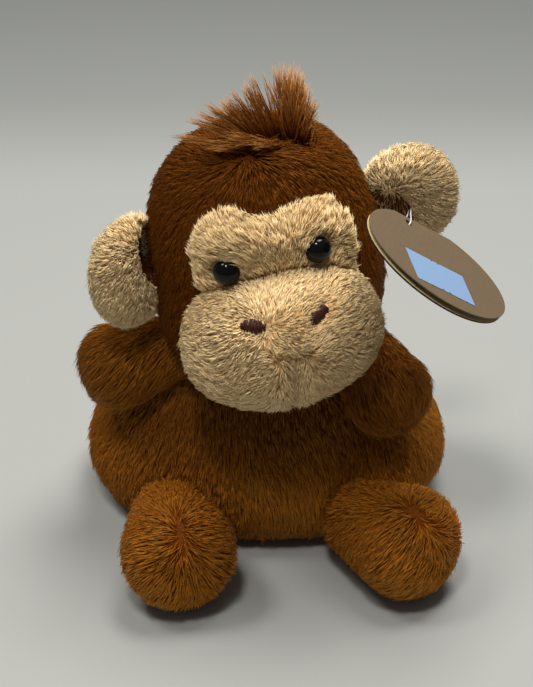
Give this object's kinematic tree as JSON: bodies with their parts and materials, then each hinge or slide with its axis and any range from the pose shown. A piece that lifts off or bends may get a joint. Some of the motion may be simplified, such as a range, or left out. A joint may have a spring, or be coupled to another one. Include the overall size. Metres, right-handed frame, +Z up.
{
  "type": "stuffed monkey",
  "caption": "Sitting plush monkey with a bean-filled body, floppy sewn-on limbs, a turning head, folding ears, a hair tuft and a hang tag on one ear.",
  "frame": {"origin": "middle of the body's flat underside, on the table the toy sits on", "axes": "+Z up, the toy faces -Y, +X towards the toy's own left side"},
  "size_m": [0.1104, 0.1161, 0.1308],
  "materials": {
    "plush_brown": "long brown pile",
    "plush_beige": "short beige pile",
    "polyester_fibre": "loose white fibre",
    "pellet_pouch": "thin woven pouch of plastic pellets",
    "satin_ribbon": "white satin ribbon",
    "satin_stitch": "dark brown embroidery thread",
    "eye_plastic": "polished black",
    "washer_plastic": "white moulded",
    "kraft_card": "uncoated kraft card",
    "sticker_paper": "light blue paper label",
    "filament_nylon": "clear white filament"
  },
  "bodies": {
    "body": {"body_skin": "plush_brown", "body_stuffing": "polyester_fibre", "bean_bag": "pellet_pouch", "care_label": "satin_ribbon"},
    "head": {"head_skin": "plush_brown", "head_stuffing": "polyester_fibre", "face_patch": "plush_beige", "muzzle_skin": "plush_beige", "muzzle_stuffing": "polyester_fibre", "hair_tuft": "plush_brown", "nostril_left": "satin_stitch", "nostril_right": "satin_stitch", "eye_left": "eye_plastic", "eye_right": "eye_plastic", "eye_washer_left": "washer_plastic", "eye_washer_right": "washer_plastic"},
    "arm_left": {"arm_left_skin": "plush_brown", "arm_left_stuffing": "polyester_fibre"},
    "arm_right": {"arm_right_skin": "plush_brown", "arm_right_stuffing": "polyester_fibre"},
    "leg_left": {"leg_left_skin": "plush_brown", "leg_left_stuffing": "polyester_fibre"},
    "leg_right": {"leg_right_skin": "plush_brown", "leg_right_stuffing": "polyester_fibre"},
    "ear_left": {"ear_left": "plush_beige", "tag_fastener": "filament_nylon"},
    "ear_right": {"ear_right": "plush_beige"},
    "tag": {"hang_tag": "kraft_card", "price_sticker": "sticker_paper"}
  },
  "joints": [
    {"name": "head_turn", "type": "hinge", "parent": "body", "child": "head", "pos_m": [-0.0006, -0.007, 0.0507], "axis": [0, 0, 1], "range_deg": [-15, 15], "stiffness_Nm_per_rad": 0.02},
    {"name": "arm_left_raise", "type": "hinge", "parent": "body", "child": "arm_left", "pos_m": [0.02404, -0.00911, 0.05017], "axis": [-0.2855, -0.5552, 0.7812], "range_deg": [0, 36]},
    {"name": "arm_right_swing", "type": "hinge", "parent": "body", "child": "arm_right", "pos_m": [-0.02404, -0.00911, 0.05017], "axis": [0.0521, 0.5569, -0.829], "range_deg": [0, 35]},
    {"name": "leg_left_raise", "type": "hinge", "parent": "body", "child": "leg_left", "pos_m": [0.0267, -0.03809, 0.01281], "axis": [-0.7193, -0.6947, 0], "range_deg": [0, 26]},
    {"name": "leg_right_raise", "type": "hinge", "parent": "body", "child": "leg_right", "pos_m": [-0.0251, -0.03862, 0.01281], "axis": [-0.9848, -0.1736, 0], "range_deg": [0, 26]},
    {"name": "ear_left_fold", "type": "hinge", "parent": "head", "child": "ear_left", "pos_m": [0.02743, -0.00306, 0.09082], "axis": [-0.1974, -0.0277, 0.9799], "range_deg": [-15, 15], "stiffness_Nm_per_rad": 0.003},
    {"name": "ear_right_fold", "type": "hinge", "parent": "head", "child": "ear_right", "pos_m": [-0.02982, -0.01111, 0.07906], "axis": [-0.1974, -0.0277, 0.9799], "range_deg": [-40, 0], "stiffness_Nm_per_rad": 0.003},
    {"name": "tag_swing", "type": "hinge", "parent": "ear_left", "child": "tag", "pos_m": [0.03468, -0.02289, 0.09456], "axis": [0.6024, -0.0319, 0.7975], "range_deg": [-20, 30]}
  ]
}
